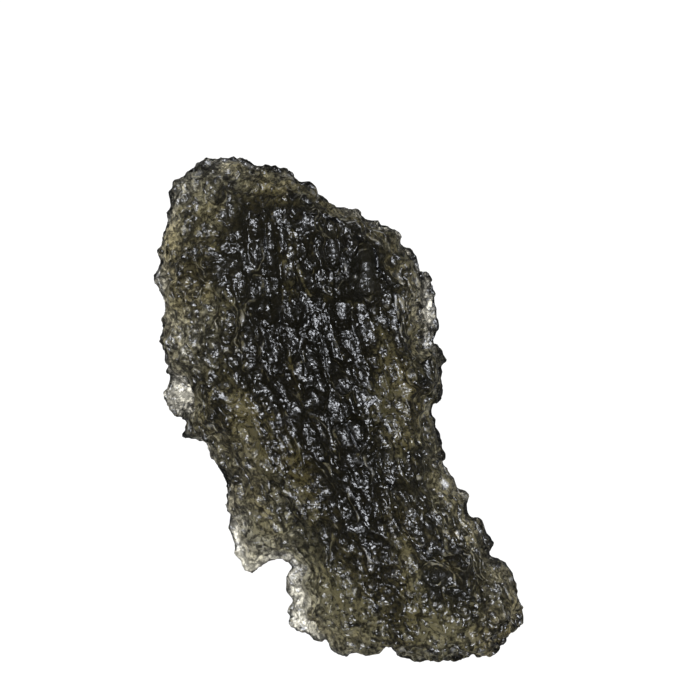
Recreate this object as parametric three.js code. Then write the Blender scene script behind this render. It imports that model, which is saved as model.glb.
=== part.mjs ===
// A raw moldavite: one piece of natural glass, flattish and longer than wide, lying on its back.
// Its face is etched into pits and grooves that follow the flow of the glass, its flanks fall away in
// folds to a thin rim, and its back is dented and worn flat where it rests.
//
// Units are millimetres. +Z is up, +Y runs towards the narrow cap and -Y towards the foot.
// The origin lies under the middle of the stone's outline box, on the surface that the stone rests on.

import * as THREE from 'three';
import { ImprovedNoise } from 'three/addons/math/ImprovedNoise.js';

// ---------------------------------------------------------------- driving dimensions

const HALF_LENGTH = 15; // of the outline box
const HALF_WIDTH = 11.1;

const RIM_STEP = 0.5; // longest edge between two points of the rim
const RIM_HALF = 0.17; // half the thickness of the glass at the very rim
const LIP_HALF = 0.4; // and where a lip ends
const RIM_WANDER = 0.8; // the rim rises and falls by this much
const RIM_WANDER_SIZE = 2.3;
const RELIEF_CLEAR = 1; // the face's relief grows to its full depth this far from the rim
const FLANK_RELIEF = 0.45; // share of it that stays at the foot of a flank
const BACK_FLANK = 1.1; // the back's flanks are this much wider than the face's
const LEDGE_RISE = 1.5; // from ledge to ledge up a flank
const LEDGE_DEPTH = 0.24;

const SOUNDING_REACH = 2; // how far one sounding of the face or back counts
const SWELL = 0.45; // low lumps, on the face and on the back
const SWELL_SIZE = 2.2;

const FLOW_REACH = 21; // lines of flow run from here to the other side of x = 0
const ACROSS = 0.35; // spacing of the face's points across the flow
const ALONG = 0.46; // and along it
const LATTICE_JITTER = 0.45; // share of ALONG by which they are out of step with their neighbours
const BACK_SPACING = 0.58; // spacing of the back's points
const FACE_ROWS = [0.06, 0.2, 0.45, 0.85]; // rows of points that follow the rim: distance from it
const BACK_ROWS = [0.07, 0.25, 0.65];
const ROW_CLEARANCE = 0.28; // no two points of a row are closer than this

const PIT_LINES = 3 * ACROSS; // from one line of pits to the next
const PIT_STRAY = 0.7; // how far a pit may lie from its line, as a share of that
const PIT_PITCH = 1.3; // from pit to pit along a line
const PIT_HALF_WIDTH = 0.45;
const PIT_HALF_LENGTH = 0.7;
const PIT_DEPTH = 0.36;
const GROOVE_DEPTH = 0.07; // of the grooves that join the pits of a line

const FLANK_DENT_PITCH = 0.8; // along the rim
const FLANK_DENT_INWARD = 1.8; // the furthest from it
const BACK_DENTS = 110;
const DENT_RADIUS = 0.8;
const DENT_DEPTH = 0.5;
const DENT_CLEAR = 0.08; // the dents fade out this close to the rim
const DENT_SHARE = 0.25; // at most this share of the thickness of the glass

// The rim, clockwise from above: over the cap, down the right side, round the foot and up the left
// side. Each stretch has its own make:
//   level  height of the rim above the table
//   lip    width of the thin plate at the rim, before the glass thickens
//   flank  width over which it then rises to its full thickness
const RIM = [
  { name: 'cap', level: 3.3, lip: 0, flank: 2.4,
    points: [[-8.5, 14.8], [-8.1, 15], [-7.3, 14.9], [-7, 15], [-5.8, 14.9], [-5, 14.5], [-4.3, 14.6],
      [-3.3, 14.4]] },
  { name: 'right shoulder', level: 3.5, lip: 0, flank: 3.1,
    points: [[-2.9, 14.1], [-2.5, 13.8], [-1.4, 13.1], [-1.1, 12.6], [-0.3, 12.1], [0.7, 11.8],
      [1.1, 11.9], [1.3, 11.5], [1.8, 11.3], [2.4, 11.3], [2.6, 10.9], [3, 10.7], [3.8, 10.3],
      [3.8, 9.9], [4.2, 9.5], [4.5, 9], [4.8, 8.4]] },
  { name: 'right lip', level: 2.8, lip: 1.7, flank: 1.3,
    points: [[5.2, 8.1], [5.5, 7.8], [5.6, 7.1], [5.8, 6.9], [5.8, 6.1], [6.1, 4.8], [5.6, 3.8]] },
  { name: 'right wall', level: 3.9, lip: 0, flank: 1.9,
    points: [[6, 3.7], [6.2, 3.4], [6.4, 2.8], [6.1, 2.4], [6.2, 1.2], [6.1, 0.7], [5.5, 0.2],
      [5.5, -0.2], [5.9, -1.5], [6, -2.3], [6.3, -2.9], [6.1, -3.3]] },
  { name: 'lower right slope', level: 3.2, lip: 0, flank: 2.6,
    points: [[6.3, -3.4], [6.9, -4], [7, -4.7], [7.7, -5.2], [7.7, -6.3], [8.1, -6.6], [8.4, -6.6],
      [9.2, -8.1], [9, -8.7], [9.3, -9], [9.8, -9.2]] },
  { name: 'toe', level: 3.3, lip: 0, flank: 2,
    points: [[10.3, -10], [10.5, -10.7], [11.1, -11.8], [10.9, -12.6], [10.2, -13.7], [9.4, -14.4],
      [9, -14.6]] },
  { name: 'foot', level: 3.3, lip: 0, flank: 1.8,
    points: [[8.1, -14.7], [6.7, -15], [6.4, -14.9], [5.3, -15], [4.2, -14.8], [3.6, -14.6],
      [3.3, -14.2], [2.9, -14.2], [2.3, -14.5], [0.9, -14.6], [0.5, -14.7], [-0.3, -14.5],
      [-0.7, -13.9]] },
  { name: 'heel ledge', level: 2, lip: 1.1, flank: 1.5,
    points: [[-1.1, -14], [-1.5, -13.9], [-1.8, -13.6], [-2.9, -13.3], [-3.1, -13.1], [-3, -12.3],
      [-2.6, -11.5], [-3, -10.9], [-3, -10.4], [-2.8, -9.6]] },
  { name: 'notch', level: 2.3, lip: 0.4, flank: 2.3,
    points: [[-3, -9.2], [-3.4, -9.2], [-3.9, -9.3]] },
  { name: 'spur', level: 2.3, lip: 0.8, flank: 2.4,
    points: [[-4.6, -9.5], [-5.2, -10], [-5.7, -9.8], [-5.9, -9.2], [-6.3, -8.8], [-6.3, -8.3],
      [-6.7, -7.3]] },
  { name: 'lower left edge', level: 2.9, lip: 0.2, flank: 2.5,
    points: [[-6.6, -6.5], [-6.9, -6], [-6.8, -5.1], [-6.6, -4.6], [-6.8, -4.2], [-7.7, -3],
      [-7.7, -2.6], [-7.9, -2.2]] },
  { name: 'tongue', level: 3.3, lip: 0, flank: 1.8,
    points: [[-8.3, -1.9], [-9.3, -1.7], [-9.1, -0.8]] },
  { name: 'left lip', level: 2.3, lip: 2.2, flank: 1.6,
    points: [[-9.5, -0.5], [-10, -0.3], [-10.2, 0.3], [-10.5, 0.8], [-10.2, 1.6]] },
  { name: 'left edge', level: 3.2, lip: 0, flank: 2,
    points: [[-10.2, 2.2], [-10.1, 2.7], [-10.7, 4], [-10.6, 4.3], [-10.7, 4.7], [-10.5, 6.3]] },
  { name: 'left folds', level: 3.1, lip: 0, flank: 2.3,
    points: [[-10.9, 7.1], [-10.9, 7.5], [-11.1, 7.8], [-10.8, 8.8], [-10.7, 9.6], [-10.3, 10.7],
      [-10.4, 11.1], [-10.2, 12.1], [-10.2, 13.1]] },
  { name: 'cap corner', level: 3.2, lip: 0, flank: 2.3,
    points: [[-9.4, 13.9], [-9, 14.3]] },
];

// Soundings of the face: x, y and the height of the glass above the table, clear of the rim.
const FACE = [
  [-8, 12.5, 5.2], [-9.2, 7.1, 5.2], [-9.2, 3.5, 5.6], [-5.9, 9.5, 7.6], [-2.9, 11.6, 7.4],
  [0.1, 8.9, 8.2], [-2.3, 4.1, 8.8], [3.7, 7.7, 6.2], [2.5, 2.9, 8.3], [4.9, 1.1, 7.4],
  [-6.5, 0.5, 7], [-1.1, -1.9, 8.6], [3.7, -2.5, 7.8], [-4.6, -3.4, 6.9], [-2.2, -6.1, 7.7],
  [-5.2, -7.3, 4.5], [-1.9, -9.4, 6.2], [0.7, -7.9, 8], [6.1, -5.5, 6.4], [-1.1, -12.1, 6.4],
  [3.7, -12.1, 7.4], [6.1, -9.1, 6.8], [8.5, -11.5, 6.2],
];

// Soundings of the back. Where one is below zero the glass is worn flat against the table.
const BACK = [
  [-8, 12.5, 1.7], [-9.2, 7.1, 2.2], [-9.2, 3.5, 2], [-5.9, 9.5, 0.1], [-2.3, 10.7, 0.1],
  [-2.3, 4.1, -0.4], [1.3, 6.5, -0.1], [3.7, 8.9, 1.5], [2.5, 1.7, -0.2], [4.9, 0.5, 0.8],
  [-5.9, 0.5, 0.5], [-1.1, -1.9, -0.5], [-4.8, -6.7, 1.9], [0.7, -7.9, -0.4], [5.5, -5.5, 0.8],
  [-0.5, -12.7, 0.5], [3.7, -11.5, -0.4], [7.9, -11.5, 0.3],
];

// Hollows: x, y, half length, half width, lean from +Y in degrees, depth. The ones in the back thin
// the glass from below, where light comes through it.
const BACK_HOLLOWS = [
  [-4.9, -1.9, 2.4, 0.9, 10, 2.7],
  [-2.1, -5.2, 2.2, 0.9, 25, 2.6],
  [3.2, -9.3, 3.4, 1.2, 5, 2.3],
  [0.1, -11.6, 1, 0.9, 0, 2.6],
  [8.2, -11.8, 1.6, 0.9, -10, 1.9],
  [3.2, 0.4, 2.8, 0.8, 5, 3.2],
  [-2.4, 13.2, 0.9, 2.6, 15, 1],
];
const FACE_HOLLOWS = [
  [1.4, 8.6, 1.3, 0.9, 20, 1.1],
  [-0.2, 10.9, 0.5, 0.8, 10, 0.6],
  [3.1, 8.8, 0.5, 1.1, 35, 0.6],
  [1, 7.1, 0.5, 1.9, 5, 0.7],
  [6.1, -9.6, 0.5, 1.6, 15, 0.9],
  [5.1, -10.4, 0.7, 0.7, 0, 0.6],
  [9.3, -12, 0.8, 0.5, -20, 0.7],
  [-2.9, -7.6, 0.9, 1.3, 30, 0.8],
  [0.7, -13.7, 0.4, 1.5, 5, 0.6],
  [-5.8, -2.1, 0.5, 0.8, 30, 0.7],
  [-7.6, 6.1, 1.2, 0.6, 0, 0.6],
];

// Ridges that stand on the face: the points that each follows, its height and half its width.
const RIDGES = [
  { name: 'shoulder ridge', height: 1, half: 0.42,
    points: [[-2.9, 12.7], [-1.7, 11.7], [-0.4, 11.2], [0.8, 10.8], [1.4, 9.8], [2.3, 9.2],
      [2.4, 8.2], [3, 7.4], [4, 7.1], [4.8, 6.4], [4.9, 5.2]] },
  { name: 'outer fold', height: 0.7, half: 0.38,
    points: [[1.4, 10.9], [2.8, 9.9], [3.7, 9], [4.3, 8]] },
  { name: 'lower fold', height: 1, half: 0.45,
    points: [[4, -7.6], [5.5, -8.5], [7.3, -8.9], [9.1, -9.3]] },
  { name: 'upper fold', height: 0.7, half: 0.38,
    points: [[4.6, -6.6], [6, -7.6], [7.6, -7.8]] },
  { name: 'toe fold', height: 0.7, half: 0.38,
    points: [[10, -9.9], [10.1, -11.4], [9.8, -12.9], [8.8, -13.9]] },
  { name: 'heel ridge', height: 0.8, half: 0.4,
    points: [[-2.1, -9.1], [-1.7, -11.2], [-1.2, -13], [-0.5, -13.8]] },
  { name: 'cap ridge', height: 0.7, half: 0.4,
    points: [[-9.2, 11.5], [-8.9, 9.2], [-9.5, 7.4], [-9.3, 5.2]] },
  { name: 'curl', height: 0.8, half: 0.4,
    points: [[-8.1, 9.5], [-7.6, 8.4], [-7.9, 7.1], [-8.4, 6.6]] },
  { name: 'left ridge', height: 0.7, half: 0.45,
    points: [[-8.6, 1.9], [-7.3, 0.2], [-7.6, -1.3]] },
];

const GLASS = { color: 0x2c2d17, roughness: 0.16, metalness: 0 };

// ---------------------------------------------------------------- helpers

const { hypot, sin, cos, sqrt, min, max, exp, PI } = Math;
const noise = new ImprovedNoise();

/** Smooth noise of about -1 to 1 whose lumps are `size` apart. Each layer is a different pattern. */
const lumps = (x, y, size, layer) => noise.noise(x / size, y / size, layer + 0.5);

const ease = (t) => THREE.MathUtils.smoothstep(t, 0, 1);

/** How far a flank has risen at a share t of its width: a quarter round, level at its top. */
const flankRise = (t) => (t <= 0 ? 0 : sqrt(1 - (1 - min(t, 1)) ** 2));

/** Numbers from 0 to 1, the same in every run. */
function seeded(seed) {
  let state = seed;
  return () => {
    state = (state * 1664525 + 1013904223) % 2 ** 32;
    return state / 2 ** 32;
  };
}

/** Squared distance from p to the segment from a to b. */
function segmentDistance2(p, a, b) {
  const run = [b[0] - a[0], b[1] - a[1]];
  const along = (p[0] - a[0]) * run[0] + (p[1] - a[1]) * run[1];
  const t = min(1, max(0, along / (run[0] ** 2 + run[1] ** 2)));
  return (p[0] - a[0] - t * run[0]) ** 2 + (p[1] - a[1] - t * run[1]) ** 2;
}

// ---------------------------------------------------------------- the flow of the glass

const FLOW_START = 12.5; // the y at which the flow leans least
const FLOW_LEAN = 0.26; // how far it leans towards +X on the way to the foot,
const FLOW_SWING = 0.16; // which varies by this much
const FLOW_LENGTH = 33; // over this length
const FLOW_WANDER = 0.5; // its lines wander to either side
const FLOW_WANDER_SIZE = 4;
const LEFT_SHARE = 0.72; // at the left side the flow drifts by only this share

/** How far the flow has drifted towards +X by the time that it reaches y. */
function drift(y) {
  const turns = (FLOW_START - y) / FLOW_LENGTH;
  return FLOW_LENGTH * (FLOW_LEAN * turns - (FLOW_SWING * sin(2 * PI * turns)) / (2 * PI));
}

/** How far the line of flow through a point is shifted there. */
function flowShift(x, y) {
  const share = LEFT_SHARE + (1 - LEFT_SHARE) * ease((x + HALF_WIDTH) / HALF_WIDTH);
  return share * drift(y) + FLOW_WANDER * lumps(x, y, FLOW_WANDER_SIZE, 3);
}

/** The number of the line of flow through a point: how far across the flow it lies. */
const flowLine = (x, y) => x - flowShift(x, y);

/** Where a line of flow passes the level y. */
function flowX(line, y) {
  const guesses = 12;
  let x = line;
  for (let i = 0; i < guesses; i += 1) x = line + flowShift(x, y);
  return x;
}

// ---------------------------------------------------------------- the rim

/** The rim's points no further apart than RIM_STEP, each with the make of its stretch. */
function rimPoints() {
  const corners = RIM.flatMap((make) => make.points.map((p) => ({ p, make })));
  return corners.flatMap(({ p, make }, i) => {
    const next = corners[(i + 1) % corners.length].p;
    const pieces = Math.ceil(hypot(next[0] - p[0], next[1] - p[1]) / RIM_STEP);
    return Array.from({ length: pieces }, (_, k) => ({
      x: p[0] + (next[0] - p[0]) * (k / pieces),
      y: p[1] + (next[1] - p[1]) * (k / pieces),
      make,
    }));
  });
}

const rim = rimPoints();
const rimPairs = rim.map((a, i) => [a, rim[(i + 1) % rim.length]]);

function rimDistance(x, y) {
  const nearest2 = rimPairs.reduce((least, [a, b]) => (
    min(least, segmentDistance2([x, y], [a.x, a.y], [b.x, b.y]))), Infinity);
  return sqrt(nearest2);
}

function insideRim(x, y) {
  let inside = false;
  for (const [a, b] of rimPairs) {
    const crosses = (a.y > y) !== (b.y > y);
    if (crosses && x < a.x + ((y - a.y) / (b.y - a.y)) * (b.x - a.x)) inside = !inside;
  }
  return inside;
}

/** The make of the rim as felt at a point: the stretches nearby, blended by how close they are. */
function makeAt(x, y) {
  const softness = 0.05;
  const sum = { level: 0, lip: 0, flank: 0 };
  let total = 0;
  for (const r of rim) {
    const weight = 1 / ((r.x - x) ** 2 + (r.y - y) ** 2 + softness) ** 2;
    for (const key of Object.keys(sum)) sum[key] += weight * r.make[key];
    total += weight;
  }
  for (const key of Object.keys(sum)) sum[key] /= total;
  sum.level += RIM_WANDER * lumps(x, y, RIM_WANDER_SIZE, 40);
  return sum;
}

// ---------------------------------------------------------------- the relief

/** The height that a list of soundings gives at a point. */
function sounded(soundings, x, y) {
  let sum = 0;
  let total = 0;
  for (const [sx, sy, z] of soundings) {
    const weight = exp(-((sx - x) ** 2 + (sy - y) ** 2) / (2 * SOUNDING_REACH ** 2)) + 1e-6;
    sum += weight * z;
    total += weight;
  }
  return sum / total;
}

/** How deep a list of hollows cuts at a point. */
function hollowed(hollows, x, y) {
  return hollows.reduce((sum, [hx, hy, length, width, lean, depth]) => {
    const turn = THREE.MathUtils.degToRad(lean);
    const along = ((x - hx) * sin(turn) - (y - hy) * cos(turn)) / length;
    const side = ((x - hx) * cos(turn) + (y - hy) * sin(turn)) / width;
    return sum + depth * exp(-(along ** 2) - side ** 2);
  }, 0);
}

/** How far the ridges stand out of the face at a point. */
function ridged(x, y) {
  return RIDGES.reduce((sum, { points, height, half }) => {
    const nearest2 = points.slice(1).reduce((least, b, i) => (
      min(least, segmentDistance2([x, y], points[i], b))), Infinity);
    return sum + height * exp(-nearest2 / half ** 2);
  }, 0);
}

/** Long pits, one after another along the lines of flow. */
function facePits() {
  const random = seeded(7);
  const pits = [];
  for (let line = -FLOW_REACH; line <= FLOW_REACH; line += PIT_LINES) {
    let y = HALF_LENGTH - PIT_PITCH * random();
    while (y > -HALF_LENGTH) {
      const size = 0.6 + 0.9 * random();
      pits.push({
        line: line + PIT_LINES * PIT_STRAY * (random() - 0.5),
        y,
        halfWidth: PIT_HALF_WIDTH * size,
        halfLength: PIT_HALF_LENGTH * size * (0.7 + 0.9 * random() ** 2),
        depth: PIT_DEPTH * size,
      });
      y -= PIT_PITCH * (0.6 + 0.8 * random());
    }
  }
  return pits;
}

const pits = facePits();

/** A pit or dent has a round floor and steep sides: 1 at its middle, 0 from its edge on. */
const bowl = (share2) => max(0, 1 - share2 ** 2);

function pitted(x, y) {
  const line = flowLine(x, y);
  return pits.reduce((deepest, pit) => {
    const side = (line - pit.line) / pit.halfWidth;
    const along = (y - pit.y) / pit.halfLength;
    return max(deepest, pit.depth * bowl(side ** 2 + along ** 2));
  }, 0);
}

/** Grooves along the lines of pits, which fade in and out. */
function grooved(x, y) {
  const line = flowLine(x, y);
  const strength = 0.5 + lumps(x, y, 4, 8);
  return GROOVE_DEPTH * max(0, strength) * cos((2 * PI * line) / PIT_LINES);
}

/** The heights of the face and the back at a point, a distance d inside the rim. */
function heights(x, y, d) {
  const make = makeAt(x, y);
  const half = RIM_HALF + (LIP_HALF - RIM_HALF) * ease(d / (make.lip + 0.3));

  const edge = make.level + half;
  const crown = sounded(FACE, x, y) + SWELL * lumps(x, y, SWELL_SIZE, 0);
  const rise = flankRise((d - make.lip) / make.flank);
  const slope = edge + (crown - edge) * rise;
  const ledges = LEDGE_DEPTH * sin((2 * PI * slope) / LEDGE_RISE + 2 * lumps(x, y, 4, 60)) * (1 - rise);
  const relief = ridged(x, y) - grooved(x, y) - pitted(x, y) - hollowed(FACE_HOLLOWS, x, y);
  const strength = FLANK_RELIEF + (1 - FLANK_RELIEF) * rise;
  const face = slope + (ledges + relief * strength) * ease(d / RELIEF_CLEAR);

  const keel = make.level - half;
  const belly = sounded(BACK, x, y) + SWELL * lumps(x, y, SWELL_SIZE, 20);
  const backRise = flankRise((d - 0.7 * make.lip) / (make.flank + BACK_FLANK));
  const back = keel + (belly + hollowed(BACK_HOLLOWS, x, y) - keel) * backRise;

  return { face, back: max(0, min(back, face - 2 * half)) };
}

// ---------------------------------------------------------------- dents

/** Round dents in the flanks, above and below the rim, and over the back. */
function scatterDents() {
  const random = seeded(23);
  const dent = (x, y, z) => {
    const size = 0.6 + 0.8 * random();
    return { at: new THREE.Vector3(x, y, z), radius: DENT_RADIUS * size, depth: DENT_DEPTH * size };
  };
  const dents = [];

  const every = Math.round(FLANK_DENT_PITCH / RIM_STEP);
  rim.forEach((r, i) => {
    if (i % every || r.make.lip > LIP_HALF) return;
    const after = rim[(i + 1) % rim.length];
    const length = hypot(after.x - r.x, after.y - r.y);
    const inward = 0.05 + FLANK_DENT_INWARD * random() ** 2;
    const x = r.x + (inward * (after.y - r.y)) / length;
    const y = r.y - (inward * (after.x - r.x)) / length;
    if (!insideRim(x, y)) return;
    const { face, back } = heights(x, y, rimDistance(x, y));
    dents.push(dent(x, y, face));
    dents.push(dent(x, y, back));
  });

  for (let i = 0; i < BACK_DENTS; i += 1) {
    const x = HALF_WIDTH * (2 * random() - 1);
    const y = HALF_LENGTH * (2 * random() - 1);
    dents.push(dent(x, y, insideRim(x, y) ? heights(x, y, rimDistance(x, y)).back : 0));
  }
  return dents;
}

/** Presses the dents into a surface, along its normals, except at the very rim. */
function pressDents(geometry, thickness, dents) {
  const position = geometry.getAttribute('position');
  const normal = geometry.getAttribute('normal');
  const p = new THREE.Vector3();
  const n = new THREE.Vector3();
  for (let i = 0; i < position.count; i += 1) {
    p.fromBufferAttribute(position, i);
    n.fromBufferAttribute(normal, i);
    const depth = dents.reduce((deepest, d) => (
      max(deepest, d.depth * bowl(p.distanceToSquared(d.at) / d.radius ** 2))), 0);
    const fade = ease(rimDistance(p.x, p.y) / DENT_CLEAR);
    p.addScaledVector(n, -fade * min(depth, DENT_SHARE * thickness[i]));
    position.setXYZ(i, p.x, p.y, max(0, p.z));
  }
}

// ---------------------------------------------------------------- the surface points, seen from above

/** The rim, rows of points that follow it, and the points of a lattice well inside the rows. */
function surfacePoints(rows, lattice) {
  const points = rim.map(({ x, y }) => [x, y]);
  const spaced = (x, y, distance) => points.every((p) => hypot(p[0] - x, p[1] - y) > distance);

  for (const row of rows) {
    rim.forEach((r, i) => {
      const before = rim[(i + rim.length - 1) % rim.length];
      const after = rim[(i + 1) % rim.length];
      const length = hypot(after.x - before.x, after.y - before.y);
      const x = r.x + (row * (after.y - before.y)) / length;
      const y = r.y - (row * (after.x - before.x)) / length;
      const clear = insideRim(x, y) && rimDistance(x, y) > 0.85 * row;
      if (clear && spaced(x, y, min(0.8 * row, ROW_CLEARANCE))) points.push([x, y]);
    });
  }

  const margin = rows.at(-1) + ROW_CLEARANCE;
  const inner = lattice.filter(([x, y]) => insideRim(x, y) && rimDistance(x, y) > margin);
  return [...points, ...inner.filter(([x, y]) => spaced(x, y, ROW_CLEARANCE / 2))];
}

/** Points in line with the flow, so that pits and grooves follow the edges between them. */
function flowLattice() {
  const random = seeded(41);
  const points = [];
  for (let row = HALF_LENGTH; row > -HALF_LENGTH; row -= ALONG) {
    for (let line = -FLOW_REACH; line < FLOW_REACH; line += ACROSS) {
      const y = row + LATTICE_JITTER * ALONG * (random() - 0.5);
      points.push([flowX(line, y), y]);
    }
  }
  return points;
}

/** Points a spacing apart in every direction. */
function evenLattice(spacing) {
  const points = [];
  let shift = 0;
  for (let y = HALF_LENGTH; y > -HALF_LENGTH; y -= spacing * sin(PI / 3)) {
    for (let x = -HALF_WIDTH; x < HALF_WIDTH; x += spacing) points.push([x + shift, y]);
    shift = spacing / 2 - shift;
  }
  return points;
}

/** Delaunay triangles of points in the plane, anticlockwise, by adding one point at a time. */
function triangulate(points) {
  const far = 1000;
  const all = [...points, [-far, -far], [far, -far], [0, far]];
  const n = points.length;
  let triangles = [withCircle(all, n, n + 1, n + 2)];
  points.forEach((p, i) => {
    const kept = [];
    const edges = new Map();
    for (const t of triangles) {
      if ((p[0] - t.x) ** 2 + (p[1] - t.y) ** 2 >= t.radius2) {
        kept.push(t);
        continue;
      }
      for (const [a, b] of [[t.a, t.b], [t.b, t.c], [t.c, t.a]]) {
        if (!edges.delete(`${b},${a}`)) edges.set(`${a},${b}`, [a, b]);
      }
    }
    for (const [a, b] of edges.values()) kept.push(withCircle(all, a, b, i));
    triangles = kept;
  });
  return triangles.filter((t) => max(t.a, t.b, t.c) < n).map((t) => [t.a, t.b, t.c]);
}

/** A triangle of three points, with the middle and squared radius of the circle through them. */
function withCircle(points, a, b, c) {
  const [ax, ay] = points[a];
  const [bx, by] = points[b];
  const [cx, cy] = points[c];
  const twice = 2 * (ax * (by - cy) + bx * (cy - ay) + cx * (ay - by));
  const a2 = ax ** 2 + ay ** 2;
  const b2 = bx ** 2 + by ** 2;
  const c2 = cx ** 2 + cy ** 2;
  const x = (a2 * (by - cy) + b2 * (cy - ay) + c2 * (ay - by)) / twice;
  const y = (a2 * (cx - bx) + b2 * (ax - cx) + c2 * (bx - ax)) / twice;
  return { a, b, c, x, y, radius2: (ax - x) ** 2 + (ay - y) ** 2 };
}

// ---------------------------------------------------------------- the stone

/** One side of the stone: its points, and its triangles, anticlockwise from above. */
function side(plan, heightOf) {
  const triangles = triangulate(plan).filter((t) => insideRim(
    t.reduce((sum, i) => sum + plan[i][0], 0) / 3,
    t.reduce((sum, i) => sum + plan[i][1], 0) / 3,
  ));
  const levels = plan.map(([x, y]) => heights(x, y, rimDistance(x, y)));
  return {
    triangles,
    points: plan.map(([x, y], i) => [x, y, heightOf(levels[i])]),
    thickness: levels.map(({ face, back }) => face - back),
  };
}

/** The edges that only one triangle has, each in the direction in which the triangle runs. */
function openEdges(triangles) {
  const open = new Map();
  for (const [a, b, c] of triangles) {
    for (const [p, q] of [[a, b], [b, c], [c, a]]) {
      if (!open.delete(`${q},${p}`)) open.set(`${p},${q}`, [p, q]);
    }
  }
  return [...open.values()];
}

/** One closed solid: the face and the back, which share the rim's plan, and a narrow band between. */
function stoneGeometry() {
  const face = side(surfacePoints(FACE_ROWS, flowLattice()), (h) => h.face);
  const back = side(surfacePoints(BACK_ROWS, evenLattice(BACK_SPACING)), (h) => h.back);
  const n = face.points.length;

  const index = face.triangles.flat();
  for (const [a, b, c] of back.triangles) index.push(n + a, n + c, n + b);
  for (const [p, q] of openEdges(face.triangles)) index.push(p, n + p, n + q, p, n + q, q);

  const geometry = new THREE.BufferGeometry();
  const positions = [...face.points, ...back.points].flat();
  geometry.setAttribute('position', new THREE.Float32BufferAttribute(positions, 3));
  geometry.setIndex(index);
  geometry.computeVertexNormals();
  pressDents(geometry, [...face.thickness, ...back.thickness], scatterDents());
  geometry.computeVertexNormals();
  return geometry;
}

const moldavite = new THREE.Mesh(stoneGeometry(), new THREE.MeshStandardMaterial(GLASS));
moldavite.name = 'moldavite';

const group = new THREE.Group();
group.add(moldavite);

export default group;
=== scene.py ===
"""A raw moldavite on a pale surface, seen from straight above.

The stone is one piece of olive-green natural glass. Its body comes from the frame's solid, which has
its outline, lumps, ridges and long pits. This script rounds that solid and etches it: Geometry Nodes
cut pits of several sizes, drawn out along the flow of the glass, and leave sharp crests between
them. The glass is see-through. Its absorption and a mottled tint, darker where the stone is thick,
make it dark together; much of that darkness is painted shade in the tint. The tint is also painted
darker in pits and creases, and painted lighter at thin edges, in listed windows, on crests and
along fold lines.

Lengths are in metres where they meet Blender, and the constants below are in millimetres unless a
comment says otherwise.
"""

import math

import bmesh
import bpy
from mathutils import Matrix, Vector


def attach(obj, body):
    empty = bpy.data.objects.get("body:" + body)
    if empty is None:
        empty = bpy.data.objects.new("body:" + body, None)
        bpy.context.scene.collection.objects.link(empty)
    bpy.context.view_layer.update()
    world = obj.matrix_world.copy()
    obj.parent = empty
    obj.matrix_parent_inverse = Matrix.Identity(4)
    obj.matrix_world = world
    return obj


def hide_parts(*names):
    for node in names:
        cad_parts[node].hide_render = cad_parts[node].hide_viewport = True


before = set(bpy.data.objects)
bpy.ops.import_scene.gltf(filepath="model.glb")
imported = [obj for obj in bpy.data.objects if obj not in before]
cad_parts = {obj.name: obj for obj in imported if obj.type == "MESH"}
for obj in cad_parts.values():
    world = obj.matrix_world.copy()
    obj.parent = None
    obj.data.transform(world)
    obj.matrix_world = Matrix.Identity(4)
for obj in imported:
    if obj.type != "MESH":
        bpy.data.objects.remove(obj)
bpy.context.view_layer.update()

MM = 0.001
TURN = 2 * math.pi

# ---------------------------------------------------------------- nodes as expressions


class Value:
    """A socket of a node tree. Arithmetic on it adds Math nodes."""

    def __init__(self, nodes, socket):
        self.nodes = nodes
        self.socket = socket

    def math(self, operation, *operands):
        return self.nodes.add("ShaderNodeMath", {"operation": operation}, *operands)[0]

    def __add__(self, other):
        return self.math("ADD", self, other)

    def __radd__(self, other):
        return self.math("ADD", other, self)

    def __sub__(self, other):
        return self.math("SUBTRACT", self, other)

    def __rsub__(self, other):
        return self.math("SUBTRACT", other, self)

    def __mul__(self, other):
        return self.math("MULTIPLY", self, other)

    def __rmul__(self, other):
        return self.math("MULTIPLY", other, self)

    def __truediv__(self, other):
        return self.math("DIVIDE", self, other)

    def __rtruediv__(self, other):
        return self.math("DIVIDE", other, self)

    def __pow__(self, other):
        return self.math("POWER", self, other)

    def sin(self):
        return self.math("SINE", self)

    def sign(self):
        return self.math("SIGN", self)

    def least(self, other):
        return self.math("MINIMUM", self, other)

    def most(self, other):
        return self.math("MAXIMUM", self, other)

    def eased(self, start, end):
        """0 up to start, 1 from end on, and smooth between."""
        settings = {"interpolation_type": "SMOOTHSTEP"}
        return self.nodes.add("ShaderNodeMapRange", settings, self, start, end, 0, 1)[0]

    def scaled(self, rise, base):
        """The base where this is 0, and higher by the rise where it is 1."""
        return self * rise + base


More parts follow.
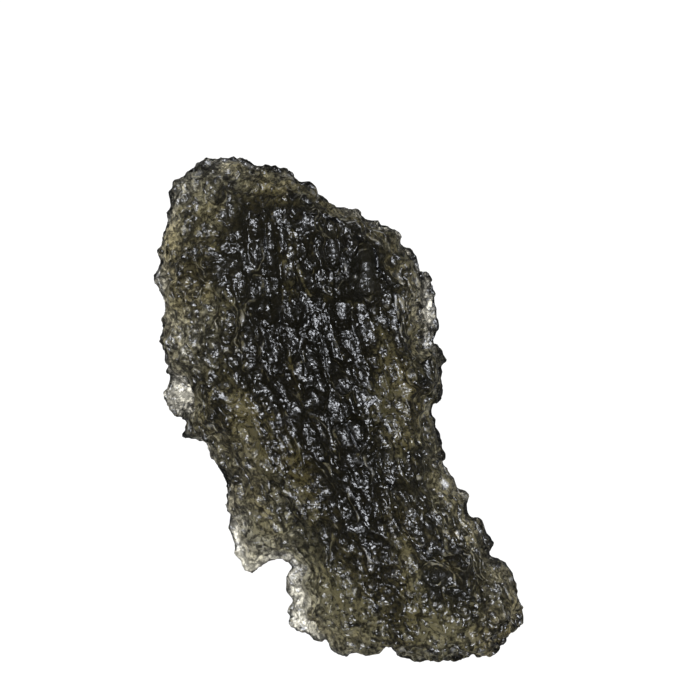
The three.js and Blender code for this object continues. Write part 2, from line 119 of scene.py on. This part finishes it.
class Nodes:
    """Adds nodes to a tree."""

    def __init__(self, tree):
        self.tree = tree

    def add(self, kind, settings=None, *inputs, **named):
        """A node of this kind: its settings first, then what its sockets hold or are linked to.

        Returns its outputs. Inputs are given in order, or by name with _ for each space.
        """
        node = self.tree.nodes.new(kind)
        for name, value in (settings or {}).items():
            setattr(node, name, value)
        enabled = [s for s in node.inputs if s.enabled]
        sockets = {s.name: s for s in enabled}
        pairs = list(zip(enabled, inputs))
        pairs += [(sockets[name.replace("_", " ")], value) for name, value in named.items()]
        for socket, value in pairs:
            self.put(value, socket)
        return [Value(self, s) for s in node.outputs if s.enabled]

    def put(self, value, socket):
        if isinstance(value, Value):
            self.tree.links.new(value.socket, socket)
        else:
            socket.default_value = value

    def vector(self, operation, *operands, **named):
        return self.add("ShaderNodeVectorMath", {"operation": operation}, *operands, **named)[0]

    def joined(self, x, y, z):
        return self.add("ShaderNodeCombineXYZ", None, x, y, z)[0]

    def split(self, vector):
        return self.add("ShaderNodeSeparateXYZ", None, vector)

    def noise(self, place, scale, detail, roughness=0.5):
        """Smooth noise of about -0.5 to 0.5."""
        named = {"Vector": place, "Scale": scale, "Detail": detail, "Roughness": roughness}
        return self.add("ShaderNodeTexNoise", {"noise_dimensions": "3D"}, **named)[0] - 0.5

    def cells(self, place, scale, scatter=1.0):
        """How far the nearest of many points is, in cells. The points lie in rows if scatter is 0."""
        named = {"Vector": place, "Scale": scale, "Randomness": scatter}
        return self.add("ShaderNodeTexVoronoi", {"voronoi_dimensions": "3D"}, **named)[0]

    def marks(self, place, size, detail, roughness, start, full):
        """0 to 1 over soft marks of this size: the noise where they start, and where they are full."""
        return self.noise(place, 1 / size, detail, roughness).eased(start, full)

    def blend(self, share, first, second):
        """One colour where the share is 0, and the other where it is 1."""
        return self.add("ShaderNodeMix", {"data_type": "RGBA"}, share, first, second)[0]

    def stored(self, name):
        """A number that the etching has stored on the stone."""
        return self.add("ShaderNodeAttribute", {"attribute_name": name})[2]


# ---------------------------------------------------------------- the flow of the glass

# The flow starts straight at the cap and leans towards +X on the way to the foot, as in the solid.
FLOW_START = 12.5
FLOW_LEAN = 0.26
FLOW_SWING = 0.16
FLOW_LENGTH = 33.0


def flow_place(nodes, place, stretch):
    """A point in millimetres, with the flow laid straight along Y and shortened by the stretch."""
    x, y, z = nodes.split(nodes.vector("SCALE", place, Scale=1 / MM))
    turns = (FLOW_START - y) / FLOW_LENGTH
    swing = (turns * TURN).sin() * (FLOW_SWING / TURN)
    drift = (turns * FLOW_LEAN - swing) * FLOW_LENGTH
    return nodes.joined(x - drift, y / stretch, z)


def bands(nodes, place, rise, waver, stretch, scale, detail):
    """0 to 1 and back, over and over up the stone, in wavering bands round its flanks."""
    flow = flow_place(nodes, place, stretch)
    shift = nodes.noise(flow, scale, detail) * waver
    level = (nodes.split(flow)[2] + shift) * (TURN / rise)
    return level.sin() * 0.5 + 0.5


# ---------------------------------------------------------------- the etched relief

LONG_PITS_FROM = (-7.6, -5.6)  # across the flow: rounder pits before it, longer ones after
LONG_PITS_DOWN_TO = (-11.0, -8.0)  # up the stone, the same way
LONG_PITS_FACE_UP = (0.3, 0.8)  # how far the surface faces up, the same way

LONG_ETCHING = [
    # size of a pit, its stretch along the flow, depth, how flat its bottom is, how scattered they are
    (1.25, 5.0, 0.42, 1.5, 0.8),
    (0.85, 2.0, 0.26, 2.6, 0.6),
]
ROUND_ETCHING = [
    (1.2, 1.1, 0.36, 1.8, 1.0),
]
SMALL_ETCHING = [
    (0.55, 1.0, 0.22, 2.6, 1.0),
]
FINE_ETCHING = [
    (0.28, 1.0, 0.03, 1.8, 1.0),
]
SMALL_LESS_ON_FLANKS = 0.65

EVEN_SIZE = 0.1  # the sides of the even faces that the solid is divided into
SWELLING = 0.06  # keeps the thinnest edges through the even division; the etching takes it off again
KEPT_SHARE = 0.5  # of those faces, after the etching
ROUNDING_PASSES = 3
CREST_REACH = 1.35  # the crests lie at about the inverse of this, in pits
CREST_WANDER = 0.3  # how far a crest wanders from its straight course
WANDER_WAVES = 0.9  # of a crest's wandering, in the width of a pit
WANDER_DETAIL = 2.0
WANDER_REACH = 4
THIN_SHARE = 0.5  # of a thin edge, the most that the etching takes
FULL_DEPTH = 0.6  # of the etching
RAISED_SHARE = 0.4  # of the full depth, by which the surface is raised so that the stone keeps its size

RAY_START = 0.02  # how far inside the surface a ray starts
RAY_LENGTH = 12
FLANK_FACES_UP = (0.16, 0.72)  # squared: all flank before it, no flank after
ROUNDED_FACES_UP = (0.1, 0.6)  # squared: where the rounding starts to grow, and where it is full
ROUNDING = (0.5, 0.5)  # how much more the face is rounded than the flanks, and how much they are

LAYER_DEPTH = 0.19
LAYER_SHARPNESS = 1.7
LAYER_BANDS = (0.85, 2.2, 2.0, 0.45, 3.0)  # rise, waver, stretch, and the waver's scale and detail


def pits(nodes, place, wander, etching):
    """How deep the glass is etched, in millimetres: round-bottomed pits with sharp crests between."""
    depth = 0
    for size, stretch, pit_depth, flatness, scatter in etching:
        flow = nodes.vector("MULTIPLY", flow_place(nodes, place, stretch), (1, 1, scatter))
        shift = nodes.add("ShaderNodeTexNoise", None, Vector=flow, Scale=WANDER_WAVES / size,
                          Detail=WANDER_DETAIL)[1]
        centred = nodes.vector("SUBTRACT", shift, (0.5, 0.5, 0.5))
        sideways = nodes.vector("SCALE", centred, Scale=wander * size * WANDER_REACH)
        reach = nodes.cells(nodes.vector("ADD", flow, sideways), 1 / size, scatter)
        depth = (1 - (reach * CREST_REACH).least(1) ** flatness) * pit_depth + depth
    return depth


def layers(nodes, place):
    """How far the glass is etched back between its layers, which show as lines round the flanks."""
    return bands(nodes, place, *LAYER_BANDS) ** LAYER_SHARPNESS * LAYER_DEPTH


def etched_depth(nodes, place, faces_up, flank, wander):
    """All the etching at a place, in millimetres."""
    across = nodes.split(flow_place(nodes, place, 1.0))[0]
    up = nodes.split(nodes.vector("SCALE", place, Scale=1 / MM))[1]
    long_share = across.eased(*LONG_PITS_FROM) * up.eased(*LONG_PITS_DOWN_TO)
    long_share = long_share * faces_up.eased(*LONG_PITS_FACE_UP)
    etched = pits(nodes, place, wander, LONG_ETCHING) * long_share
    small = pits(nodes, place, wander, SMALL_ETCHING) * (1 - flank * SMALL_LESS_ON_FLANKS)
    etched = (pits(nodes, place, wander, ROUND_ETCHING) + small) * (1 - long_share) + etched
    etched = pits(nodes, place, wander, FINE_ETCHING) + etched
    return layers(nodes, place) * flank + etched


def glass_along(nodes, stone, place, direction, missed):
    """How far a ray goes from the surface through the stone, or another value where it hits nothing."""
    start = nodes.vector("ADD", place, nodes.vector("SCALE", direction, Scale=RAY_START * MM))
    ray = nodes.add("GeometryNodeRaycast", {"data_type": "FLOAT"}, Target_Geometry=stone,
                    Source_Position=start, Ray_Direction=direction, Ray_Length=RAY_LENGTH * MM)
    return nodes.add("GeometryNodeSwitch", {"input_type": "FLOAT"}, ray[0], missed, ray[3])[0]


def with_stored(nodes, geometry, name, value):
    """The geometry, with a number stored on its points for the glass to read."""
    settings = {"data_type": "FLOAT", "domain": "POINT"}
    return nodes.add("GeometryNodeStoreNamedAttribute", settings, geometry, True, name, value)[0]


def etching_inputs(tree):
    """The etching's own inputs and output."""
    sockets = tree.interface
    sockets.new_socket("Geometry", in_out="INPUT", socket_type="NodeSocketGeometry")
    for name, kind, value in [
        ("Rounding", "NodeSocketInt", ROUNDING_PASSES),
        ("Depth", "NodeSocketFloat", 1.0),
        ("Crest wander", "NodeSocketFloat", CREST_WANDER),
    ]:
        socket = sockets.new_socket(name, in_out="INPUT", socket_type=kind)
        socket.default_value = value
    sockets.new_socket("Material", in_out="INPUT", socket_type="NodeSocketMaterial")
    sockets.new_socket("Geometry", in_out="OUTPUT", socket_type="NodeSocketGeometry")


def etching_tree():
    """Geometry Nodes that round the solid's facets and etch its surface."""
    tree = bpy.data.node_groups.new("Etching", "GeometryNodeTree")
    etching_inputs(tree)
    nodes = Nodes(tree)
    even, rounding, depth, wander, material = nodes.add("NodeGroupInput")[:5]
    place = nodes.add("GeometryNodeInputPosition")[0]
    normal = nodes.add("GeometryNodeInputNormal")[0]
    faces_up = nodes.split(normal)[2]
    weight = (faces_up * faces_up).eased(*ROUNDED_FACES_UP).scaled(*ROUNDING)
    settings = {"data_type": "FLOAT_VECTOR"}
    blurred = nodes.add("GeometryNodeBlurAttribute", settings, place, rounding, weight)[0]
    rounded = nodes.add("GeometryNodeSetPosition", None, even, Position=blurred)[0]

    inward = nodes.vector("SCALE", normal, Scale=-1.0)
    straight_through = nodes.joined(0.0, 0.0, faces_up.sign() * -1)
    wall = glass_along(nodes, rounded, place, inward, RAY_LENGTH * MM)
    thickness = glass_along(nodes, rounded, place, straight_through, 0.0)

    flank = 1 - (faces_up * faces_up).eased(*FLANK_FACES_UP)
    etched = etched_depth(nodes, place, faces_up, flank, wander)
    measured = with_stored(nodes, rounded, "thickness", thickness * (1 / MM))
    measured = with_stored(nodes, measured, "etched", etched)
    measured = with_stored(nodes, measured, "flank", flank)

    hold = (wall * (THIN_SHARE / (FULL_DEPTH * MM))).least(1)
    offset = (etched - FULL_DEPTH * RAISED_SHARE + SWELLING) * hold * depth * MM
    x, y, z = nodes.split(nodes.vector("ADD", place, nodes.vector("SCALE", inward, Scale=offset)))
    on_table = nodes.joined(x, y, z.most(0))
    carved = nodes.add("GeometryNodeSetPosition", None, measured, Position=on_table)[0]
    smooth = nodes.add("GeometryNodeSetShadeSmooth", None, carved)[0]
    real = nodes.add("GeometryNodeRealizeInstances", None, smooth)[0]
    done = nodes.add("GeometryNodeSetMaterial", None, real, Material=material)[0]
    nodes.add("NodeGroupOutput", None, done)
    return tree


MERGED_WITHIN = 0.0005  # corners closer than this become one


def merged_copy(node, name):
    """A slightly swollen copy of a solid, whose triangles share their corners."""
    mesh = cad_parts[node].data.copy()
    mesh.name = name
    work = bmesh.new()
    work.from_mesh(mesh)
    bmesh.ops.remove_doubles(work, verts=work.verts, dist=MERGED_WITHIN * MM)
    for corner in work.verts:
        corner.co += corner.normal * SWELLING * MM
    work.to_mesh(mesh)
    work.free()
    mesh.materials.clear()
    piece = bpy.data.objects.new(name, mesh)
    bpy.context.scene.collection.objects.link(piece)
    return piece


def drop_crumbs(mesh):
    """Keep only the largest of a mesh's loose parts."""
    work = bmesh.new()
    work.from_mesh(mesh)
    left = set(work.verts)
    parts = []
    while left:
        found = [left.pop()]
        for corner in found:
            near = {edge.other_vert(corner) for edge in corner.link_edges} & left
            left -= near
            found.extend(near)
        parts.append(found)
    parts.sort(key=len)
    for part in parts[:-1]:
        bmesh.ops.delete(work, geom=part, context="VERTS")
    work.to_mesh(mesh)
    work.free()


def etched_stone(material):
    """The stone: the solid, etched, as a plain mesh."""
    rough = merged_copy("moldavite", "rough_stone")
    even = rough.modifiers.new("even_faces", "REMESH")
    even.mode = "VOXEL"
    even.voxel_size = EVEN_SIZE * MM
    etch = rough.modifiers.new("etching", "NODES")
    etch.node_group = etching_tree()
    sockets = {s.name: s.identifier for s in etch.node_group.interface.items_tree if s.in_out == "INPUT"}
    etch[sockets["Material"]] = material
    thin = rough.modifiers.new("thinning", "DECIMATE")
    thin.ratio = KEPT_SHARE
    evaluated = rough.evaluated_get(bpy.context.evaluated_depsgraph_get())
    mesh = bpy.data.meshes.new_from_object(evaluated)
    drop_crumbs(mesh)
    mesh.name = "moldavite_stone"
    stone = bpy.data.objects.new("moldavite_stone", mesh)
    bpy.context.scene.collection.objects.link(stone)
    bpy.data.objects.remove(rough)
    return stone


# ---------------------------------------------------------------- the glass's clear places: painted light and shade

# Painted light and shade: places where the tint passes more light, or less, set by the tint and not
# by the glass's thickness: where they lie on the face, half their length and width, how far they lean
# from the long side (degrees), how much they change the tone.
PAINTED_WINDOWS = [
    (-8.0, 11.9, 2.4, 1.4, 20, 0.10),
    (-9.2, 4.5, 2.6, 1.0, 0, 0.15),
    (-5.1, -1.8, 2.9, 0.7, 18, 0.75),
    (-2.3, -4.2, 2.6, 0.9, 25, 0.45),
    (3.2, 0.9, 2.9, 1.0, 8, 0.85),
    (4.1, -9.4, 3.4, 0.8, 15, 0.35),
    (-0.2, -11.3, 2.8, 2.0, 30, 0.48),
    (6.0, -13.0, 2.8, 1.8, 70, 0.36),
    (-4.6, -6.6, 1.8, 1.3, 0, 0.15),
    (2.4, 11.3, 4.6, 1.3, 55, 0.28),
    (6.4, 8.2, 3.2, 1.2, 25, 0.25),
    (-3.8, 13.0, 2.6, 1.2, 80, 0.12),
    (-9.0, 0.2, 1.2, 1.2, 0, 0.15),
    (5.3, 5.9, 2.2, 0.7, 0, 0.30),
    (6.7, -4.6, 1.6, 1.2, 20, 0.2),
    (-9.9, 10.6, 3.6, 0.6, -12, 0.25),
    (-6.6, 14.4, 1.6, 0.6, 75, 0.20),
    (1.2, 8.3, 1.8, 1.4, 30, -0.08),
    (5.6, -10.2, 1.6, 1.1, 50, -0.05),
]
WINDOW_FALL = 3  # the higher it is, the faster a window's tone falls off


def painted_window_tone(nodes, place):
    """How much clearer or darker the tint is painted at a place in millimetres: painted light and shade.
    """
    tone = 0
    for x, y, length, width, lean, strength in PAINTED_WINDOWS:
        turn = math.radians(lean)
        px, py = nodes.split(nodes.vector("SUBTRACT", place, (x, y, 0)))[:2]
        along = (px * math.sin(turn) - py * math.cos(turn)) / length
        side = (px * math.cos(turn) + py * math.sin(turn)) / width
        spread = 1 / (1 + along * along + side * side) ** WINDOW_FALL
        tone = spread * strength + tone
    return tone


# ---------------------------------------------------------------- the glass's fine relief

# Marks on the glass: their size, the noise's detail and roughness, where they start and are full.
SATIN_PATCHES = (1 / 0.9, 3.0, 0.5, -0.2, 0.25)
SATIN = (0.06, 0.275)  # how much rougher the dullest patches are, and how rough the smoothest are
FOLD_PATCHES = (2.4 * MM, 1.0, 0.5, -0.12, 0.08)  # the size in metres

CUP_SIZE = 0.34
CUP_STRETCH = 0.65  # along the flow
CUP_FLATNESS = 4
CUP_DEPTH = 0.035
GRAIN_SIZE = 0.12
GLINT_RARITY = 8  # the higher it is, the fewer grains are tilted much
GRAIN_TILT = (1.3, 0.3)  # how much more the rare ones are tilted, and the tilt of the rest

CREASE_STRETCH = 1.6
CREASE_SIZE = 1.1
CREASE_DETAIL = 2.5
CREASE_ROUGHNESS = 0.6
CREASE_THINNESS = 500
CREASE_DEPTH = 0.025

FOLD_BANDS = (0.36, 2.2, 1.6, 0.5, 2.0)  # rise, waver, stretch, and the waver's scale and detail
FOLD_SHARPNESS = 9
FOLD_HEIGHT = 0.05


def fold_lines(nodes, metres):
    """1 along thin lines that follow the flanks round, as folds of cloth do, and 0 between."""
    patches = nodes.marks(metres, *FOLD_PATCHES)
    return bands(nodes, metres, *FOLD_BANDS) ** FOLD_SHARPNESS * patches * nodes.stored("flank")


def creases(nodes, metres):
    """0 along thin creases that wander over the glass, and 1 between them."""
    flow = flow_place(nodes, metres, CREASE_STRETCH)
    folds = nodes.noise(flow, 1 / CREASE_SIZE, CREASE_DETAIL, CREASE_ROUGHNESS)
    return (folds * folds * CREASE_THINNESS).least(1)


def tilted_grains(nodes, place):
    """The slopes of small grains, each tilted its own way. A few are tilted much more, and glint."""
    grains = nodes.add("ShaderNodeTexVoronoi", None, Vector=place, Scale=1 / GRAIN_SIZE)
    offset = nodes.vector("SUBTRACT", place, grains[2])
    lean = nodes.vector("SUBTRACT", grains[1], (0.5, 0.5, 0.5))
    chance = nodes.split(grains[1])[0]
    return nodes.vector("DOT_PRODUCT", offset, lean) * (chance ** GLINT_RARITY).scaled(*GRAIN_TILT)


def fine_relief(nodes, metres, place, crease, lines):
    """Relief too fine to cut into the stone: cups, grains, creases and fold lines."""
    cups = nodes.cells(flow_place(nodes, metres, CUP_STRETCH), 1 / CUP_SIZE).least(1) ** CUP_FLATNESS
    height = cups * CUP_DEPTH + tilted_grains(nodes, place) + crease * CREASE_DEPTH + lines * FOLD_HEIGHT
    return nodes.add("ShaderNodeBump", None, Strength=1.0, Distance=1.0, Height=height * MM)[0]


# ---------------------------------------------------------------- the glass's tint, with painted light and shade

GLASS_IOR = 1.49
FOLD_COAT_IOR = 2.3
FOLD_COAT_ROUGHNESS = 0.6
ABSORBED_PER_MM = (0.34, 0.35, 0.43)  # red, green, blue
CLEAR_TINT = (0.97, 0.93, 0.81, 1)
WARM_TINT = (0.96, 0.83, 0.52, 1)
# painted shade: the near-black tint of thick glass, which darkens it more than its absorption does
PAINTED_SHADE_TINT = (0.004, 0.004, 0.004, 1)

# Marks in the tint: their size, the noise's detail and roughness, where they start and are full.
SPECKS = (0.3, 3.0, 0.7, -0.1, 0.12)
CLOUDS = (0.9, 2.0, 0.5, -0.2, 0.15)
STREAKS = (1.6, 2.0, 0.5, 0.03, 0.12)
FIBRES = (0.3, 2.0, 0.5, -0.12, 0.1)
WARM_PATCHES = (3.0, 1.0, 0.5, -0.12, 0.2)
STREAK_STRETCH = 3.0
FIBRE_STRETCH = 6.0
WARM_STRETCH = 2.0

# From where to where each thing changes the tone.
# painted light on crests and painted shade in pits: the etched depths between which the tint changes
CREST_PAINTED_LIGHT_ETCHED = (0.05, 0.32)
THIN_GLASS = (-1.0, 6.5)
THINNEST_GLASS = (0.2, 2.0)
WARM_GLASS = (0.7, 2.5)
BACK_LEVEL = (1.5, 3.2)

# How much each thing adds to the tone where it is 1, and the tone where it is 0.
SPECK_TONE = (1.05, 0.18)
CLOUD_TONE = (0.5, 0.6)
# painted shade: the tint is darker along the creases
CREASE_PAINTED_SHADE = (0.75, 0.3)
EDGE_TONE = (0.32, 0.34)
WINDOW_PAINTED_LIGHT_ON_CRESTS = (5.0, 3.5)
WINDOW_IN_FIBRES = (0.7, 0.4)
STREAK_TONE = (0.5, 0.1)
BACK_TONE = (0.45, 0.32)
TONE_PER_THICKNESS = (0.23, 0.95)
# painted sheen: the tint is paler along the fold lines
FOLD_PAINTED_SHEEN = 1.7
DARKEST_TONE = 0.02
CLEAREST_TONE = 1.4


def painted_clearness(nodes, metres, place, thickness, lines):
    """How much clearer than the painted near-black the tint is, as painted light: at thin edges, in
    windows, on crests and along fold lines.
    """
    # painted light and shade: the tint is clearer on the least etched crests and darker down in the pits
    crest = 1 - nodes.stored("etched").eased(*CREST_PAINTED_LIGHT_ETCHED)
    streaks = nodes.marks(flow_place(nodes, metres, STREAK_STRETCH), *STREAKS)
    fibres = nodes.marks(flow_place(nodes, metres, FIBRE_STRETCH), *FIBRES)
    # painted light: the tint clears towards thin glass and at its edges, on top of the absorption
    thin = 1 - thickness.eased(*THIN_GLASS)
    edge = thickness.eased(*THINNEST_GLASS).scaled(*EDGE_TONE)
    windows = painted_window_tone(nodes, place)
    windows = windows * crest.scaled(*WINDOW_PAINTED_LIGHT_ON_CRESTS) * fibres.scaled(*WINDOW_IN_FIBRES)
    # painted light: the streaks and fibres clear the tint only on the crests
    clear = thin * edge + windows + crest * fibres * streaks.scaled(*STREAK_TONE)
    # painted sheen: the fold lines clear the tint, so that they look lit
    return (clear + lines * FOLD_PAINTED_SHEEN + DARKEST_TONE).least(CLEAREST_TONE)


def mottling_and_crease_shade(nodes, place, crease):
    """The uneven look of the etched surface: specks and clouds, and painted shade along the creases."""
    specks = nodes.marks(place, *SPECKS).scaled(*SPECK_TONE)
    clouds = nodes.marks(place, *CLOUDS).scaled(*CLOUD_TONE)
    return specks * clouds * crease.scaled(*CREASE_PAINTED_SHADE)


def olive_tint_and_painted_light(nodes, metres, place, crease, lines):
    """The colour light takes on at the surface, with painted light and shade: near-black where the stone
    is thick, and mostly clearer where it is thinner, in windows, on crests and along fold lines.
    """
    thickness = nodes.stored("thickness")
    # the mottling carries painted shade along the creases
    mottled = mottling_and_crease_shade(nodes, place, crease)
    back = 1 - nodes.split(place)[2].eased(*BACK_LEVEL)
    tone = painted_clearness(nodes, metres, place, thickness, lines) * mottled + back * mottled.scaled(*BACK_TONE)
    tone = (tone * thickness.scaled(*TONE_PER_THICKNESS)).least(1).most(0) ** 2
    warmth = nodes.marks(flow_place(nodes, metres, WARM_STRETCH), *WARM_PATCHES)
    # the fold lines keep a pale, unwarmed tint as part of their painted sheen
    warmth = warmth * thickness.eased(*WARM_GLASS) * (1 - lines)
    return nodes.blend(tone, PAINTED_SHADE_TINT, nodes.blend(warmth, CLEAR_TINT, WARM_TINT))


def absorbing_body(tree):
    """The inside of the glass, which takes a share of the light in each millimetre."""
    body = tree.nodes.new("ShaderNodeVolumeAbsorption")
    strongest = max(ABSORBED_PER_MM)
    body.inputs["Color"].default_value = (*(1 - a / strongest for a in ABSORBED_PER_MM), 1)
    body.inputs["Density"].default_value = strongest / MM
    return body


def moldavite_glass():
    """Olive glass with an etched, satin surface."""
    material = bpy.data.materials.new("etched_glass")
    material.use_nodes = True
    tree = material.node_tree
    tree.nodes.clear()
    nodes = Nodes(tree)
    metres = nodes.add("ShaderNodeTexCoord")[3]
    place = nodes.vector("SCALE", metres, Scale=1 / MM)
    crease = creases(nodes, metres)
    lines = fold_lines(nodes, metres)

    glass = tree.nodes.new("ShaderNodeBsdfPrincipled")
    glass.inputs["Transmission Weight"].default_value = 1.0
    glass.inputs["IOR"].default_value = GLASS_IOR
    glass.inputs["Coat Roughness"].default_value = FOLD_COAT_ROUGHNESS
    glass.inputs["Coat IOR"].default_value = FOLD_COAT_IOR
    nodes.put(olive_tint_and_painted_light(nodes, metres, place, crease, lines), glass.inputs["Base Color"])
    nodes.put(nodes.marks(place, *SATIN_PATCHES).scaled(*SATIN), glass.inputs["Roughness"])
    nodes.put(fine_relief(nodes, metres, place, crease, lines), glass.inputs["Normal"])
    nodes.put(lines, glass.inputs["Coat Weight"])

    output = tree.nodes.new("ShaderNodeOutputMaterial")
    tree.links.new(glass.outputs["BSDF"], output.inputs["Surface"])
    tree.links.new(absorbing_body(tree).outputs["Volume"], output.inputs["Volume"])
    return material


# ---------------------------------------------------------------- surface, light and camera

# The table's glow, and how much stronger it is to the camera and to light that leaves the stone.
TABLE_GLOW = 0.15
TABLE_GLOW_SEEN = 0.95
TABLE_GLOW_THROUGH_STONE = 1.5
TABLE_HALF = 1.0  # metres
TABLE_LEVEL = -0.05

# The surroundings' glow, and how much stronger it is to the camera.
ROOM_GLOW = 0.02
ROOM_GLOW_SEEN = 0.98

LAMPS = [
    # name, side and place in metres, watts, colour
    ("soft_box", 0.19, (0.0, 0.02, 0.4), 3.4, (0.9, 0.93, 1.0)),
    ("diffusing_sheet", 0.8, (0.0, 0.0, 0.5), 0.07, (1.0, 1.0, 1.0)),
]


def ray_kind(nodes, name):
    """1 for rays of this kind, and 0 for all others."""
    rays = nodes.tree.nodes.new("ShaderNodeLightPath")
    return Value(nodes, rays.outputs[name])


def table_white():
    """A white glow, bright to the camera and under the stone, and faint where the stone mirrors it."""
    material = bpy.data.materials.new("table_white")
    material.use_nodes = True
    nodes = Nodes(material.node_tree)
    shader = material.node_tree.nodes["Principled BSDF"]
    shader.inputs["Base Color"].default_value = (0, 0, 0, 1)
    shader.inputs["Roughness"].default_value = 1.0
    shader.inputs["Specular IOR Level"].default_value = 0.0
    shader.inputs["Emission Color"].default_value = (1, 1, 1, 1)
    glow = ray_kind(nodes, "Is Camera Ray") * TABLE_GLOW_SEEN
    glow = glow + ray_kind(nodes, "Is Transmission Ray") * TABLE_GLOW_THROUGH_STONE + TABLE_GLOW
    nodes.put(glow, shader.inputs["Emission Strength"])
    return material


def pale_table():
    """A flat white surface under the stone."""
    mesh = bpy.data.meshes.new("table")
    level = TABLE_LEVEL * MM
    sides = [(-1, -1), (1, -1), (1, 1), (-1, 1)]
    mesh.from_pydata([(x * TABLE_HALF, y * TABLE_HALF, level) for x, y in sides], [], [(0, 1, 2, 3)])
    mesh.materials.append(table_white())
    table = bpy.data.objects.new("table", mesh)
    bpy.context.scene.collection.objects.link(table)


def lamp(name, side, place, watts, colour):
    """A square lamp that shines on the stone."""
    light = bpy.data.lights.new(name, "AREA")
    light.shape = "SQUARE"
    light.size = side
    light.energy = watts
    light.color = colour
    thing = bpy.data.objects.new(name, light)
    bpy.context.scene.collection.objects.link(thing)
    thing.location = place
    towards_stone = Vector((0, 0, 0)) - Vector(place)
    thing.rotation_euler = towards_stone.to_track_quat("-Z", "Y").to_euler()


def surroundings():
    """A dim room that only the camera sees as white."""
    world = bpy.data.worlds.new("studio")
    bpy.context.scene.world = world
    world.use_nodes = True
    nodes = Nodes(world.node_tree)
    shade = world.node_tree.nodes["Background"]
    shade.inputs["Color"].default_value = (1, 1, 1, 1)
    glow = ray_kind(nodes, "Is Camera Ray") * ROOM_GLOW_SEEN + ROOM_GLOW
    nodes.put(glow, shade.inputs["Strength"])


VIEW_LEVEL = 3.0  # the height of the rim, at which the view is as wide as the next line says
VIEW_WIDTH = 42.0
VIEW_CENTRE = (0.69, 3.51)
LENS = 100.0
SENSOR = 36.0
NEAR, FAR = 0.001, 10  # metres


def camera():
    """A long lens that looks straight down on the stone."""
    view = bpy.data.cameras.new("camera")
    view.lens = LENS
    view.sensor_width = SENSOR
    view.clip_start = NEAR
    view.clip_end = FAR
    height = VIEW_LEVEL + VIEW_WIDTH * LENS / SENSOR
    eye = bpy.data.objects.new("camera", view)
    bpy.context.scene.collection.objects.link(eye)
    eye.location = (VIEW_CENTRE[0] * MM, VIEW_CENTRE[1] * MM, height * MM)
    bpy.context.scene.camera = eye


# ---------------------------------------------------------------- the scene

stone = etched_stone(moldavite_glass())
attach(stone, "root")
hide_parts("moldavite")
pale_table()
for settings in LAMPS:
    lamp(*settings)
surroundings()
camera()
bpy.context.scene.view_settings.view_transform = "Standard"
